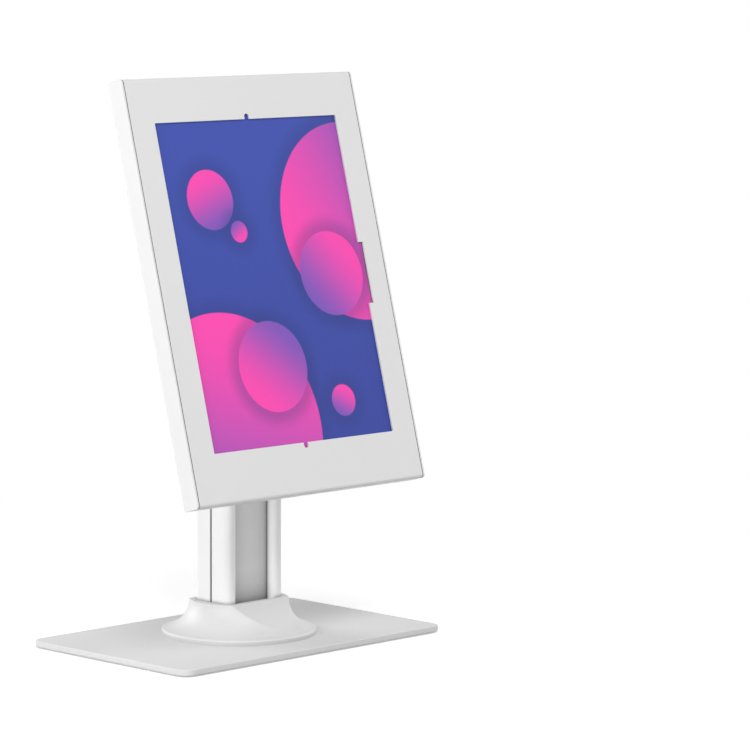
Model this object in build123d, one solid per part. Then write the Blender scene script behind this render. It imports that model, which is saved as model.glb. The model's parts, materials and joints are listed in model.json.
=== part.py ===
from build123d import *
import math
import os

# Tablet security kiosk stand, in millimetres.
# +Z is up, the screen faces -Y, and the origin lies on the counter under the middle of the base.

# Clearances, overruns and the shares of a wall that its edges may take
running_gap = 0.2
shaft_clearance = 0.05
thread_clearance = 0.05
touch_gap = 0.3
cut_overrun = 1.0
edge_share = 0.4
corner_share = 0.48
inner_bend_share = 0.25

# Base plate and feet
base_width = 296.0
base_depth = 190.0
base_thickness = 5.0
base_corner = 12.0
base_edge_round = 0.8
foot_diameter = 22.0
foot_height = 2.5
foot_recess = 1.5
foot_inset = 24.0

# Pole extrusion
pole_width = 64.0
pole_depth = 41.5
pole_length = 250.0
column_width = 11.4
web_recess = 8.5
web_wall = 2.5
groove_width = 2.4
groove_depth = 2.6

# Screws at both ends of the pole
pole_screw_diameter = 5.0
pole_screw_depth = 18.0
base_screw_head_diameter = 9.6
base_screw_head_height = 2.6
bracket_screw_head_diameter = 8.6
bracket_screw_head_height = 2.8
bracket_socket_width = 3.0
bracket_socket_depth = 1.6

# Collar round the foot of the pole
collar_height = 29.5
collar_top_radius = 41.5
collar_waist_radius = 47.5
collar_waist_height = 13.0
collar_flange_radius = 64.5
collar_rim_height = 4.5
collar_rim_round = 1.6
collar_wall = 2.0
collar_lid_height = 2.0
collar_pole_gap = 0.4
facet_top_reach = 26.0
facet_waist_reach = 40.0
facet_waist_height = 17.0
facet_foot_reach = 59.0
facet_foot_height = 5.6
collar_slit_width = 0.8
collar_slit_length = 14.0

# Bracket on the pole's top
bracket_sheet = 3.0
bracket_width = 71.0
bracket_bend = 2.5
pivot_height = 14.5
pivot_spacing = 31.0
ear_margin = 9.0
cable_hole_diameter = 18.0

# Pivot bolts and tilt clamps
pivot_bolt_diameter = 6.0
pivot_head_diameter = 9.0
pivot_head_height = 2.0
pivot_head_round = 0.7
clamp_bolt_diameter = 6.0
clamp_head_diameter = 10.0
clamp_head_height = 5.0
clamp_head_round = 0.6
clamp_socket_width = 5.0
clamp_socket_depth = 3.0
clamp_washer_diameter = 17.0
clamp_washer_height = 1.5
clamp_slot_clearance = 0.2
nut_width = 10.0
nut_height = 5.0
bolt_end = 1.0

# Tilt of the head at rest and at its two ends, in degrees
rest_tilt = 15.0
least_tilt = 0.0
most_tilt = 60.0
slot_spare_angle = 1.5

# Yoke that tilts on the bracket
yoke_sheet = 3.0
yoke_bend = 3.5
yoke_web_reach = 13.2
yoke_web_below = 15.0
yoke_web_above_hub = 32.0
fan_radius = 43.0
fan_heel_angle = 97.0
fan_mid_angle = 45.0
fan_foot_depth = 14.0
fan_foot_round = 8.0
fan_peak_reach = 6.0
slot_key_start = 4.0
slot_key_end = 22.0
slot_key_width = 9.4

# Turntable between the yoke and the head
hub_height = 19.6
hub_spigot_radius = 23.5
hub_flange_radius = 25.5
hub_flange_height = 6.0
hub_flange_round = 1.2
hub_bore_radius = 15.5
hub_screw_circle_radius = 20.0
hub_screw_count = 3
hub_screw_diameter = 3.0
hub_screw_head_diameter = 5.6
hub_screw_head_height = 1.8
hub_screw_length = 7.0
turntable_radius = 38.0
turntable_height = 1.8

# Mounting plate with its four screws
plate_size = 88.0
plate_height = 2.5
plate_corner = 6.0
plate_screw_spacing = 75.0
plate_screw_diameter = 4.0
plate_screw_head_diameter = 9.0
plate_screw_head_height = 2.6
plate_socket_width = 2.5
plate_socket_depth = 1.5

# Tray and cover of the enclosure
enclosure_width = 258.8
enclosure_height = 348.9
enclosure_depth = 18.0
tray_sheet = 1.5
cover_sheet = 1.5
tray_bend = 2.5
side_corner = 3.0
cover_bend = 3.0
seam_gap = 0.8
tray_hole_radius = 25.5
tray_screw_hole_clearance = 0.3

# Window of the cover and its notches
window_width = 204.0
window_height = 270.0
window_rise = 2.4
window_corner = 1.0
side_notch_height = 52.0
side_notch_depth = 5.0
small_notch_width = 5.2
small_notch_depth = 4.6

# Openings of the tray's back
camera_window_width = 34.0
camera_window_height = 34.0
camera_window_offset = 9.5
camera_window_corner = 4.0
keyhole_entry_diameter = 11.8
keyhole_neck_width = 5.0
keyhole_neck_reach = 12.0
keyhole_distance = 50.5
cable_slot_width = 7.2
cable_slot_length = 21.0
cable_slot_distance = 56.5
low_slot_distance = 59.0
edge_cutout_width = 12.5
edge_cutout_height = 17.5
foot_cutout_width = 6.0
foot_cutout_height = 9.0
foot_cutout_in_flange = 3.0
vent_length = 11.0
vent_width = 2.6
vent_pitch_across = 14.7
vent_pitch_up = 6.0
vent_columns = 3
vent_rows = 3
vent_inset_across = 50.0
vent_inset_up = 15.0

# Hooks at the cover's foot and the keeper at its top
hook_width = 26.0
hook_distance = 71.0
hook_height = 4.5
hook_clearance = 0.5
keeper_width = 16.0
keeper_height = 4.2
keeper_setback = 2.5

# Lock
lock_drop = 15.5
lock_flange_radius = 7.0
lock_flange_height = 1.5
lock_barrel_radius = 6.0
lock_barrel_reach = 7.5
lock_barrel_round = 0.6
lock_barrel_inside = 5.7
lock_plug_radius = 4.0
lock_keyway_width = 1.2
lock_keyway_length = 5.0
lock_keyway_depth = 3.0
lock_nut_radius = 9.0
lock_nut_height = 2.0
cam_width = 9.0
cam_reach = 12.8
cam_sheet = 1.5
cam_screw_head_diameter = 5.5
cam_screw_head_height = 1.8
cam_screw_diameter = 3.0
cam_screw_length = 6.0

# Rails and ledges that carry the tablet
rail_height = 15.2
rail_spacing = 181.0
rail_sheet = 1.5
rail_pad_height = 1.0
ledge_rail_gap = 9.0
ledge_camera_gap = 2.5
ledge_length = 320.0
ledge_sheet = 1.5
ledge_lip_height = 5.0
stop_width = 30.0
stop_height = 12.0
stop_distance = 40.0
stop_setback = 2.0

# Tablet
tablet_width = 216.0
tablet_height = 283.0
tablet_thickness = 6.7
tablet_corner = 12.0
tablet_wall = 1.6
tablet_back_wall = 1.0
tablet_edge_round = 1.2
glass_thickness = 1.0
glass_gap = 0.1
display_thickness = 1.8
display_width = 206.0
display_height = 273.0
battery_width = 150.0
battery_height = 190.0
battery_thickness = 2.4
tablet_camera_side_inset = 31.0
tablet_camera_top_inset = 24.9
tablet_camera_diameter = 12.0
tablet_camera_height = 1.0
tablet_lens_diameter = 7.0
tablet_lens_depth = 0.5

# Levels of the stand
base_bottom = foot_height - foot_recess
base_top = base_bottom + base_thickness
pole_top = base_top + pole_length
bracket_top = pole_top + bracket_sheet
pivot_y = -pivot_spacing / 2
clamp_y = pivot_spacing / 2
pivot_z = bracket_top + pivot_height

# Places across the tilt joint, from the middle outwards
bracket_half = bracket_width / 2
ear_inner = bracket_half + running_gap
ear_outer = ear_inner + yoke_sheet
head_seat = ear_outer + running_gap

# Places forward of the pivot axis
web_rear = yoke_web_reach - yoke_sheet
disc_rear = yoke_web_reach + running_gap
plate_rear = disc_rear + turntable_height
tray_rear = plate_rear + plate_height
tray_inside = tray_rear + tray_sheet
enclosure_front = tray_rear + enclosure_depth
cover_inside = enclosure_front - cover_sheet
glass_front = cover_inside - touch_gap
tablet_rear = glass_front - tablet_thickness
rail_front = tablet_rear - rail_pad_height

# Edges of the enclosure, from its middle
half_width = enclosure_width / 2
half_height = enclosure_height / 2
wall_inside = half_width - tray_sheet
cover_half_width = wall_inside - seam_gap
flange_inside = half_height - cover_sheet
back_half_height = flange_inside - seam_gap
lock_up = half_height - lock_drop
keeper_rear = tray_inside + keeper_setback

# Places across the tablet, from its rear camera to the ledges and rails
tablet_camera_across = tablet_width / 2 - tablet_camera_side_inset
tablet_camera_up = window_rise + tablet_height / 2 - tablet_camera_top_inset
camera_window_across = tablet_camera_across + camera_window_offset
ledge_inner = tablet_camera_across + tablet_camera_diameter / 2 + ledge_camera_gap
rail_length = 2 * (ledge_inner - ledge_rail_gap)

# The head's own frame: Y runs back from the pivot axis and Z up along the panel
tilted = Pos(0, pivot_y, pivot_z) * Rot(-rest_tilt, 0, 0)

CORNER = (Align.MIN, Align.MIN, Align.MIN)
UPWARD = (Align.CENTER, Align.CENTER, Align.MIN)


def block(x, y, z):
    """A box between two places along each axis."""
    size = Box(x[1] - x[0], y[1] - y[0], z[1] - z[0], align=CORNER)
    return Pos(x[0], y[0], z[0]) * size


def rod_x(radius, start, end, y=0, z=0):
    """A round bar along X between two places."""
    bar = Cylinder(radius, end - start, align=UPWARD)
    return Pos(start, y, z) * Rot(0, 90, 0) * bar


def rod_z(radius, start, end, x=0, y=0):
    """A round bar along Z between two heights."""
    return Pos(x, y, start) * Cylinder(radius, end - start, align=UPWARD)


def forward(outline, rear, front):
    """A flat outline in the panel's plane, made solid between two reaches forward of the pivot."""
    return extrude(Plane.XZ.offset(rear) * outline, amount=front - rear)


def across(outline, start, end):
    """An outline in the plane of Y and Z, made solid between two places along X."""
    return extrude(Plane.YZ.offset(start) * outline, amount=end - start)


def on_panel(outline, right=0, up=0):
    """An outline placed from the middle of the enclosure."""
    return Pos(right, hub_height + up) * outline


def rounded(width, height, radius):
    """A rectangle with round corners, the radius limited by its sides."""
    return RectangleRounded(width, height, min(radius, width * corner_share, height * corner_share))


def both_sides(shape):
    """The shape with its mirror image on the other side of the middle."""
    return shape + mirror(shape, about=Plane.YZ)


def corners(half_x, half_y):
    """The four corner places of a rectangle."""
    return [(sx * half_x, sy * half_y) for sx in (-1, 1) for sy in (-1, 1)]


# Base

pole_screw_x = (pole_width - column_width) / 2
pole_screw_y = (pole_depth - column_width) / 2
pole_screw_radius = pole_screw_diameter / 2
pole_screw_hole = pole_screw_radius + thread_clearance
foot_x = base_width / 2 - foot_inset
foot_y = base_depth / 2 - foot_inset


def make_base_plate():
    """Flat steel plate with soft edges, foot recesses, countersunk screw holes and a cable hole."""
    plate = extrude(Pos(0, 0, base_bottom) * rounded(base_width, base_depth, base_corner), base_thickness)
    rims = plate.faces().sort_by(Axis.Z)[-1].edges() + plate.faces().sort_by(Axis.Z)[0].edges()
    plate = fillet(rims, min(base_edge_round, base_thickness * edge_share))
    for x, y in corners(foot_x, foot_y):
        plate -= rod_z(foot_diameter / 2 + thread_clearance, base_bottom - cut_overrun, foot_height, x, y)
    for x, y in corners(pole_screw_x, pole_screw_y):
        plate -= base_screw(x, y, thread_clearance)
        plate -= rod_z(pole_screw_hole, base_bottom, base_top + cut_overrun, x, y)
    return plate - rod_z(cable_hole_diameter / 2, base_bottom - cut_overrun, base_top + cut_overrun)


def base_screw(x, y, grow=0.0):
    """Countersunk screw from under the base into the pole, grown for the hole that takes it."""
    shank = rod_z(pole_screw_radius + grow, base_bottom, base_top + pole_screw_depth, x, y)
    wide = base_screw_head_diameter / 2 + grow
    head = Cone(wide, pole_screw_radius + grow, base_screw_head_height, align=UPWARD)
    return shank + Pos(x, y, base_bottom) * head


def make_base_screws():
    """Four countersunk screws with cross-shaped drives left plain inside the heads."""
    screws = [base_screw(x, y) for x, y in corners(pole_screw_x, pole_screw_y)]
    return Compound(children=[solid for screw in screws for solid in screw.solids()])


def make_rubber_feet():
    """Four round feet seated in the plate's recesses."""
    feet = [rod_z(foot_diameter / 2, 0, foot_height, x, y) for x, y in corners(foot_x, foot_y)]
    return Compound(children=[solid for foot in feet for solid in foot.solids()])


# Pole

def make_pole_extrusion():
    """Two round-nosed columns joined by a hollow web, with a groove down each side."""
    column = SlotOverall(pole_depth, column_width, rotation=90)
    outline = Pos(pole_screw_x, 0) * column + Pos(-pole_screw_x, 0) * column
    outline += Rectangle(pole_width - column_width, pole_depth - 2 * web_recess)
    cavity_depth = pole_depth - 2 * web_recess - 2 * web_wall
    outline -= Rectangle(pole_width - 2 * column_width, cavity_depth)
    for side in (-1, 1):
        groove_x = side * (pole_width / 2 - groove_depth / 2)
        outline -= Pos(groove_x, 0) * Rectangle(groove_depth, groove_width)
    for x, y in corners(pole_screw_x, pole_screw_y):
        outline -= Pos(x, y) * Circle(pole_screw_hole)
    return extrude(Pos(0, 0, base_top) * outline, pole_length)


def flared_half(foot, waist, rim, lowest):
    """Half of a flared outline: up the flange's edge, in along the curve and over the top."""
    top = base_top + collar_height
    skirt = Polyline((0, top), (0, lowest), (foot[0], lowest), foot)
    flare = ThreePointArc(foot, waist, (rim, top))
    return make_face(skirt + flare + Line((rim, top), (0, top)))


def collar_shape(inset, lowest):
    """The bell of the collar with its hollowed front and back, drawn in by an inset."""
    foot = (collar_flange_radius - inset, base_top + collar_rim_height - inset)
    waist = (collar_waist_radius - inset, base_top + collar_waist_height)
    bell = revolve(Plane.XZ * flared_half(foot, waist, collar_top_radius - inset, lowest), Axis.Z)
    facet_foot = (facet_foot_reach - inset, base_top + facet_foot_height - inset)
    facet_waist = (facet_waist_reach - inset, base_top + facet_waist_height)
    side = flared_half(facet_foot, facet_waist, facet_top_reach - inset, lowest)
    ledge = Polyline((0, lowest), (collar_flange_radius, lowest), (collar_flange_radius, facet_foot[1]),
                     (0, facet_foot[1]), (0, lowest))
    side += make_face(ledge)
    reach = collar_flange_radius + collar_wall
    prism = across(side, -reach, reach)
    return bell & (prism + mirror(prism, about=Plane.XZ))


def make_pole_collar():
    """Bell-shaped cover with a round flange and a lid that closes it round the pole."""
    top = base_top + collar_height
    shell = collar_shape(0, base_top)
    rim_radius = collar_flange_radius - collar_rim_round
    rim_edges = [edge for edge in shell.edges().filter_by(GeomType.CIRCLE)
                 if edge.radius > rim_radius and edge.center().Z > base_top + cut_overrun]
    if rim_edges:
        shell = fillet(rim_edges, min(collar_rim_round, collar_rim_height * edge_share))
    lid_bottom = top - collar_lid_height
    across_base = (-collar_flange_radius, collar_flange_radius)
    below_lid = block(across_base, across_base, (base_top - cut_overrun, lid_bottom))
    shell -= collar_shape(collar_wall, base_top - cut_overrun) & below_lid
    opening = rounded(pole_width + 2 * collar_pole_gap, pole_depth + 2 * collar_pole_gap,
                      column_width / 2 + collar_pole_gap)
    shell -= extrude(Pos(0, 0, lid_bottom - cut_overrun) * opening, collar_lid_height + 2 * cut_overrun)
    slit_end = collar_flange_radius + cut_overrun
    shell -= block((-collar_slit_width / 2, collar_slit_width / 2), (slit_end - collar_slit_length, slit_end),
                   (base_top - cut_overrun, base_top + collar_height / 2))
    return shell


# Bracket on the pole

pivot_bolt_radius = pivot_bolt_diameter / 2
clamp_bolt_radius = clamp_bolt_diameter / 2


def make_pole_bracket():
    """U-shaped bracket: a plate on the pole's end with an ear turned up at each side."""
    y_ends = (pivot_y - ear_margin, clamp_y + ear_margin)
    ear_top = pivot_z + ear_margin
    bracket = block((-bracket_half, bracket_half), y_ends, (pole_top, ear_top))
    bracket = fillet(bracket.edges().filter_by(Axis.Y).sort_by(Axis.Z)[:2], bracket_bend)
    inner = bracket_half - bracket_sheet
    bracket -= block((-inner, inner), (y_ends[0] - cut_overrun, y_ends[1] + cut_overrun),
                     (bracket_top, ear_top + cut_overrun))
    bracket = fillet(bracket.edges().filter_by(Axis.X).group_by(Axis.Z)[-1], ear_margin * 2 * corner_share)
    reach = bracket_half + cut_overrun
    for y, radius in ((pivot_y, pivot_bolt_radius), (clamp_y, clamp_bolt_radius)):
        bracket -= rod_x(radius + thread_clearance, -reach, reach, y, pivot_z)
    bracket -= rod_z(cable_hole_diameter / 2, pole_top - cut_overrun, bracket_top + cut_overrun)
    for x, y in corners(pole_screw_x, pole_screw_y):
        bracket -= rod_z(pole_screw_hole, pole_top - cut_overrun, bracket_top + cut_overrun, x, y)
    return bracket


def make_bracket_screws():
    """Four button-headed screws with hexagon sockets, down into the pole."""
    solids = []
    head_top = bracket_top + bracket_screw_head_height
    socket = RegularPolygon(bracket_socket_width / 2, 6, major_radius=False)
    for x, y in corners(pole_screw_x, pole_screw_y):
        screw = rod_z(pole_screw_radius, bracket_top - pole_screw_depth, bracket_top, x, y)
        head = rod_z(bracket_screw_head_diameter / 2, bracket_top, head_top, x, y)
        head = fillet(head.edges().sort_by(Axis.Z)[-1], bracket_screw_head_height * edge_share)
        floor = Pos(x, y, head_top - bracket_socket_depth)
        head -= extrude(floor * socket, bracket_socket_depth + cut_overrun)
        solids += (screw + head).solids()
    return Compound(children=solids)


def hex_nut(bolt_radius, y):
    """Nut against the inside of the bracket's ear."""
    seat = bracket_half - bracket_sheet
    outline = RegularPolygon(nut_width / 2, 6, major_radius=False)
    outline -= Circle(bolt_radius + thread_clearance)
    return across(Pos(y, pivot_z) * outline, seat - nut_height, seat)


def make_pivot_bolts():
    """Two bolts with low round heads that the yoke turns on."""
    nut_end = bracket_half - bracket_sheet - nut_height - bolt_end
    bolt = rod_x(pivot_bolt_radius, nut_end, head_seat, pivot_y, pivot_z)
    head = rod_x(pivot_head_diameter / 2, head_seat, head_seat + pivot_head_height, pivot_y, pivot_z)
    head = fillet(head.edges().sort_by(Axis.X)[-1], pivot_head_round)
    return both_sides(bolt + head)


def make_clamp_bolts():
    """Two socket-headed bolts that run in the yoke's curved slots and clamp the tilt."""
    nut_end = bracket_half - bracket_sheet - nut_height - bolt_end
    washer_end = head_seat + clamp_washer_height
    bolt = rod_x(clamp_bolt_radius, nut_end, washer_end, clamp_y, pivot_z)
    head_end = washer_end + clamp_head_height
    head = rod_x(clamp_head_diameter / 2, washer_end, head_end, clamp_y, pivot_z)
    head = fillet(head.edges().sort_by(Axis.X)[-1], clamp_head_round)
    socket = RegularPolygon(clamp_socket_width / 2, 6, major_radius=False)
    head -= across(Pos(clamp_y, pivot_z) * socket, head_end - clamp_socket_depth, head_end + cut_overrun)
    return both_sides(bolt + head)


def make_clamp_washers():
    """Two wide washers between the yoke's ears and the clamp bolts' heads."""
    outline = Circle(clamp_washer_diameter / 2) - Circle(clamp_bolt_radius + thread_clearance)
    return both_sides(across(Pos(clamp_y, pivot_z) * outline, head_seat, head_seat + clamp_washer_height))


# Yoke, in the head's own frame

def slot_place(radius, angle):
    """A place in the ear's plane, the angle turned back from straight up the panel."""
    return (radius * math.sin(math.radians(angle)), radius * math.cos(math.radians(angle)))


def curved_slot(start, end, width):
    """A slot of even width along the clamp bolt's path, between two angles."""
    angles = (start, (start + end) / 2, end)
    outer = [slot_place(pivot_spacing + width / 2, angle) for angle in angles]
    inner = [slot_place(pivot_spacing - width / 2, angle) for angle in angles]
    edges = ThreePointArc(*outer) + Line(outer[-1], inner[-1])
    edges += ThreePointArc(*reversed(inner)) + Line(inner[0], outer[0])
    outline = make_face(edges)
    for angle in (start, end):
        outline += Pos(*slot_place(pivot_spacing, angle)) * Circle(width / 2)
    return outline


def make_tilt_yoke():
    """Web across the head with a fan-shaped ear at each side, slotted for the clamp bolt."""
    web_top = hub_height + yoke_web_above_hub
    heel = slot_place(fan_radius, fan_heel_angle)
    middle = slot_place(fan_radius, fan_mid_angle)
    peak = (-fan_peak_reach, web_top)
    edge = Polyline(heel, (heel[0], -fan_foot_depth), (-yoke_web_reach, -yoke_web_below),
                    (-yoke_web_reach, web_top), peak)
    fan = make_face(edge + ThreePointArc(peak, middle, heel))
    yoke = across(fan, -ear_outer, ear_outer)
    front_edges = yoke.edges().filter_by(Axis.Z).group_by(Axis.Y)[0]
    yoke = fillet(front_edges, yoke_bend)
    heel_edges = [edge for edge in yoke.edges().filter_by(Axis.X)
                  if edge.center().Y > fan_radius / 2 and edge.center().Z < -fan_foot_depth / 2]
    if heel_edges:
        yoke = fillet(heel_edges, fan_foot_round)
    back_end = fan_radius + cut_overrun
    yoke -= block((-ear_inner, ear_inner), (-web_rear, back_end), (-fan_radius, web_top + cut_overrun))
    slot_width = clamp_bolt_diameter + 2 * clamp_slot_clearance
    first = 90 - most_tilt - slot_spare_angle
    last = 90 - least_tilt + slot_spare_angle
    ear_cut = curved_slot(first, last, slot_width) + curved_slot(slot_key_start, slot_key_end, slot_key_width)
    ear_cut += curved_slot(slot_key_end, first, slot_width)
    ear_cut += Circle(pivot_bolt_radius + shaft_clearance)
    reach = ear_outer + cut_overrun
    yoke -= across(ear_cut, -reach, reach)
    hub_hole = on_panel(Circle(hub_spigot_radius + shaft_clearance))
    yoke -= forward(hub_hole, web_rear - cut_overrun, yoke_web_reach + cut_overrun)
    return yoke


# Turntable and mounting plate, in the head's own frame

hub_screw_radius = hub_screw_diameter / 2
plate_screw_radius = plate_screw_diameter / 2


def ring_of(radius):
    """A disc of one radius at each of the turntable's screws."""
    turns = [90 + 360 / hub_screw_count * i for i in range(hub_screw_count)]
    return [on_panel(Circle(radius), *slot_place(hub_screw_circle_radius, turn)) for turn in turns]


def square_of(radius):
    """A disc of one radius at each corner of the mounting plate's screw square."""
    half = plate_screw_spacing / 2
    return [on_panel(Circle(radius), x, z) for x, z in corners(half, half)]


def make_hub_ring():
    """Flanged ring that the head turns on, with a wide bore for the cable."""
    rear = web_rear - running_gap - hub_flange_height
    flange = forward(on_panel(Circle(hub_flange_radius)), rear, web_rear - running_gap)
    flange = fillet(flange.edges().sort_by(Axis.Y)[-1], hub_flange_round)
    ring = flange + forward(on_panel(Circle(hub_spigot_radius)), web_rear - running_gap, plate_rear)
    ring -= forward(on_panel(Circle(hub_bore_radius)), rear - cut_overrun, plate_rear + cut_overrun)
    for disc in ring_of(hub_screw_radius + thread_clearance):
        ring -= forward(disc, plate_rear - hub_screw_length, plate_rear + cut_overrun)
    return ring


def make_hub_screws():
    """Small screws from inside the tray through the mounting plate into the hub ring."""
    solids = []
    for shank, head in zip(ring_of(hub_screw_radius), ring_of(hub_screw_head_diameter / 2)):
        cap = forward(head, tray_rear, tray_rear + hub_screw_head_height)
        cap = fillet(cap.edges().sort_by(Axis.Y)[0], hub_screw_head_height * edge_share)
        screw = cap + forward(shank, plate_rear - hub_screw_length + bolt_end, tray_rear)
        solids += screw.solids()
    return Compound(children=solids)


def make_turntable_disc():
    """Flat bearing disc between the mounting plate and the yoke."""
    outline = on_panel(Circle(turntable_radius) - Circle(hub_spigot_radius + shaft_clearance))
    return forward(outline, disc_rear, plate_rear)


def make_mounting_plate():
    """Square plate that joins the enclosure to the turntable."""
    plate = forward(on_panel(rounded(plate_size, plate_size, plate_corner)), plate_rear, tray_rear)
    holes = [on_panel(Circle(hub_bore_radius))]
    holes += ring_of(hub_screw_radius + thread_clearance)
    holes += square_of(plate_screw_radius + thread_clearance)
    for hole in holes:
        plate -= forward(hole, plate_rear - cut_overrun, tray_rear + cut_overrun)
    return plate


def make_plate_screws():
    """Four low-headed screws through the tray into the mounting plate."""
    solids = []
    socket = RegularPolygon(plate_socket_width / 2, 6, major_radius=False)
    half = plate_screw_spacing / 2
    head_front = tray_inside + plate_screw_head_height
    for x, z in corners(half, half):
        head = forward(on_panel(Circle(plate_screw_head_diameter / 2), x, z), tray_inside, head_front)
        head = fillet(head.edges().sort_by(Axis.Y)[0], plate_screw_head_height * edge_share)
        head -= forward(on_panel(socket, x, z), head_front - plate_socket_depth, head_front + cut_overrun)
        shank = forward(on_panel(Circle(plate_screw_radius), x, z), plate_rear, tray_inside)
        solids += (head + shank).solids()
    return Compound(children=solids)


# Enclosure, in the head's own frame

def keyhole(turn):
    """Round entry with a narrower neck that points away from it, turned about its entry."""
    neck = Pos(0, keyhole_neck_reach / 2) * SlotOverall(
        keyhole_neck_reach + keyhole_neck_width, keyhole_neck_width, rotation=90)
    return Rot(0, 0, turn) * (Circle(keyhole_entry_diameter / 2) + neck)


def vent_group(side, level):
    """One corner's rows of short slots."""
    group = GridLocations(vent_pitch_across, vent_pitch_up, vent_columns, vent_rows)
    slots = [place * SlotOverall(vent_length, vent_width) for place in group]
    right = side * (half_width - vent_inset_across)
    up = level * (half_height - vent_inset_up)
    return [on_panel(slot, right, up) for slot in slots]


def make_rear_tray():
    """Back and two side walls bent from one sheet, with every opening of the back."""
    tray = block((-half_width, half_width), (-enclosure_front, -tray_rear),
                 (hub_height - half_height, hub_height + half_height))
    tray = fillet(tray.edges().filter_by(Axis.Z).group_by(Axis.Y)[-1], tray_bend)
    side_outline = Pos(-tray_rear - enclosure_depth / 2, hub_height) * rounded(
        enclosure_depth, enclosure_height, side_corner)
    tray &= across(side_outline, -half_width, half_width)
    high, low = hub_height + half_height + cut_overrun, hub_height - half_height - cut_overrun
    hollow = block((-wall_inside, wall_inside), (-enclosure_front - cut_overrun, -tray_inside), (low, high))
    inner_bend = max(tray_bend - tray_sheet, tray_sheet * inner_bend_share)
    hollow = fillet(hollow.edges().filter_by(Axis.Z).group_by(Axis.Y)[-1], inner_bend)
    tray -= hollow
    edge = hub_height + back_half_height
    foot = hub_height - back_half_height
    depths = (-tray_inside - cut_overrun, -tray_rear + cut_overrun)
    for levels in ((edge, high), (low, foot)):
        tray -= block((-wall_inside, wall_inside), depths, levels)
    cuts = [on_panel(Circle(tray_hole_radius))]
    cuts.append(on_panel(Circle(lock_barrel_radius + thread_clearance), 0, lock_up))
    cuts += square_of(plate_screw_radius + tray_screw_hole_clearance)
    cuts += [on_panel(keyhole(0), 0, keyhole_distance), on_panel(keyhole(-90), keyhole_distance, 0)]
    cable_slot = SlotOverall(cable_slot_length, cable_slot_width)
    cuts.append(on_panel(Rot(0, 0, 90) * cable_slot, -cable_slot_distance, 0))
    cuts.append(on_panel(cable_slot, 0, -low_slot_distance))
    cuts.append(on_panel(rounded(camera_window_width, camera_window_height, camera_window_corner),
                         camera_window_across, tablet_camera_up))
    cutout_middle = -half_width + tray_bend + edge_cutout_width / 2
    cuts.append(on_panel(Rectangle(edge_cutout_width, edge_cutout_height), cutout_middle, 0))
    foot_cutout = SlotOverall(2 * foot_cutout_height, foot_cutout_width, rotation=90)
    cuts.append(on_panel(foot_cutout, 0, -back_half_height))
    for side in (-1, 1):
        notch = Rectangle(hook_width + 2 * hook_clearance, 2 * (hook_height + hook_clearance))
        cuts.append(on_panel(notch, side * hook_distance, -back_half_height))
        for level in (-1, 1):
            cuts += vent_group(side, level)
    for cut in cuts:
        tray -= forward(cut, tray_rear - cut_overrun, tray_inside + cut_overrun)
    return tray


def make_front_cover():
    """Front frame round the window, with flanges bent back at its top and foot."""
    middle = -tray_rear - enclosure_depth / 2
    outer = across(Pos(middle, hub_height) * Rectangle(enclosure_depth, enclosure_height),
                   -cover_half_width, cover_half_width)
    outer = fillet(outer.edges().filter_by(Axis.X).group_by(Axis.Y)[0], cover_bend)
    high, low = hub_height + flange_inside, hub_height - flange_inside
    reach = cover_half_width + cut_overrun
    hollow = block((-reach, reach), (-cover_inside, -tray_rear + cut_overrun), (low, high))
    inner_bend = max(cover_bend - cover_sheet, cover_sheet * inner_bend_share)
    hollow = fillet(hollow.edges().filter_by(Axis.X).group_by(Axis.Y)[0], inner_bend)
    cover = outer - hollow
    window = on_panel(rounded(window_width, window_height, window_corner), 0, window_rise)
    side_notch = Rectangle(side_notch_depth + window_corner, side_notch_height)
    notch_middle = (window_width + side_notch_depth - window_corner) / 2
    window += on_panel(side_notch, notch_middle, window_rise)
    small = SlotOverall(2 * small_notch_depth, small_notch_width, rotation=90)
    for level in (-1, 1):
        window += on_panel(small, 0, window_rise + level * window_height / 2)
    cover -= forward(window, cover_inside - cut_overrun, enclosure_front + cut_overrun)
    foot_notch = block((-foot_cutout_width / 2, foot_cutout_width / 2),
                       (-tray_rear - foot_cutout_in_flange, -tray_rear + cut_overrun),
                       (hub_height - half_height - cut_overrun, low + cut_overrun))
    return cover - foot_notch


def make_cover_hooks():
    """Two tabs welded to the cover's foot flange, which stand in the tray's notches."""
    hook = block((-hook_width / 2, hook_width / 2), (-tray_inside, -tray_rear),
                 (hub_height - flange_inside, hub_height - back_half_height + hook_height))
    return Compound(children=[Pos(side * hook_distance, 0, 0) * hook for side in (-1, 1)])


def make_cover_keeper():
    """Tab welded under the cover's top flange, which the lock's cam holds."""
    high = hub_height + flange_inside
    return block((-keeper_width / 2, keeper_width / 2), (-keeper_rear - cover_sheet, -keeper_rear),
                 (high - keeper_height, high))


# Lock, in the head's own frame

cam_rear = keeper_rear + cover_sheet + touch_gap


def make_lock_housing():
    """Fixed body of the lock: flange and barrel behind the tray, threaded stub inside."""
    flange_rear = tray_rear - lock_flange_height
    barrel_rear = tray_rear - lock_barrel_reach
    barrel = forward(on_panel(Circle(lock_barrel_radius), 0, lock_up), barrel_rear, flange_rear)
    barrel = fillet(barrel.edges().sort_by(Axis.Y)[-1], lock_barrel_round)
    body = barrel + forward(on_panel(Circle(lock_flange_radius), 0, lock_up), flange_rear, tray_rear)
    inside_end = cam_rear - running_gap
    body += forward(on_panel(Circle(lock_barrel_inside), 0, lock_up), tray_rear, inside_end)
    body -= forward(on_panel(Circle(lock_plug_radius + shaft_clearance), 0, lock_up),
                    barrel_rear - cut_overrun, inside_end + cut_overrun)
    return body


def make_lock_nut():
    """Ring nut that holds the lock in the tray's back."""
    outline = Circle(lock_nut_radius) - Circle(lock_barrel_inside + thread_clearance)
    return forward(on_panel(outline, 0, lock_up), tray_inside, tray_inside + lock_nut_height)


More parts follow.
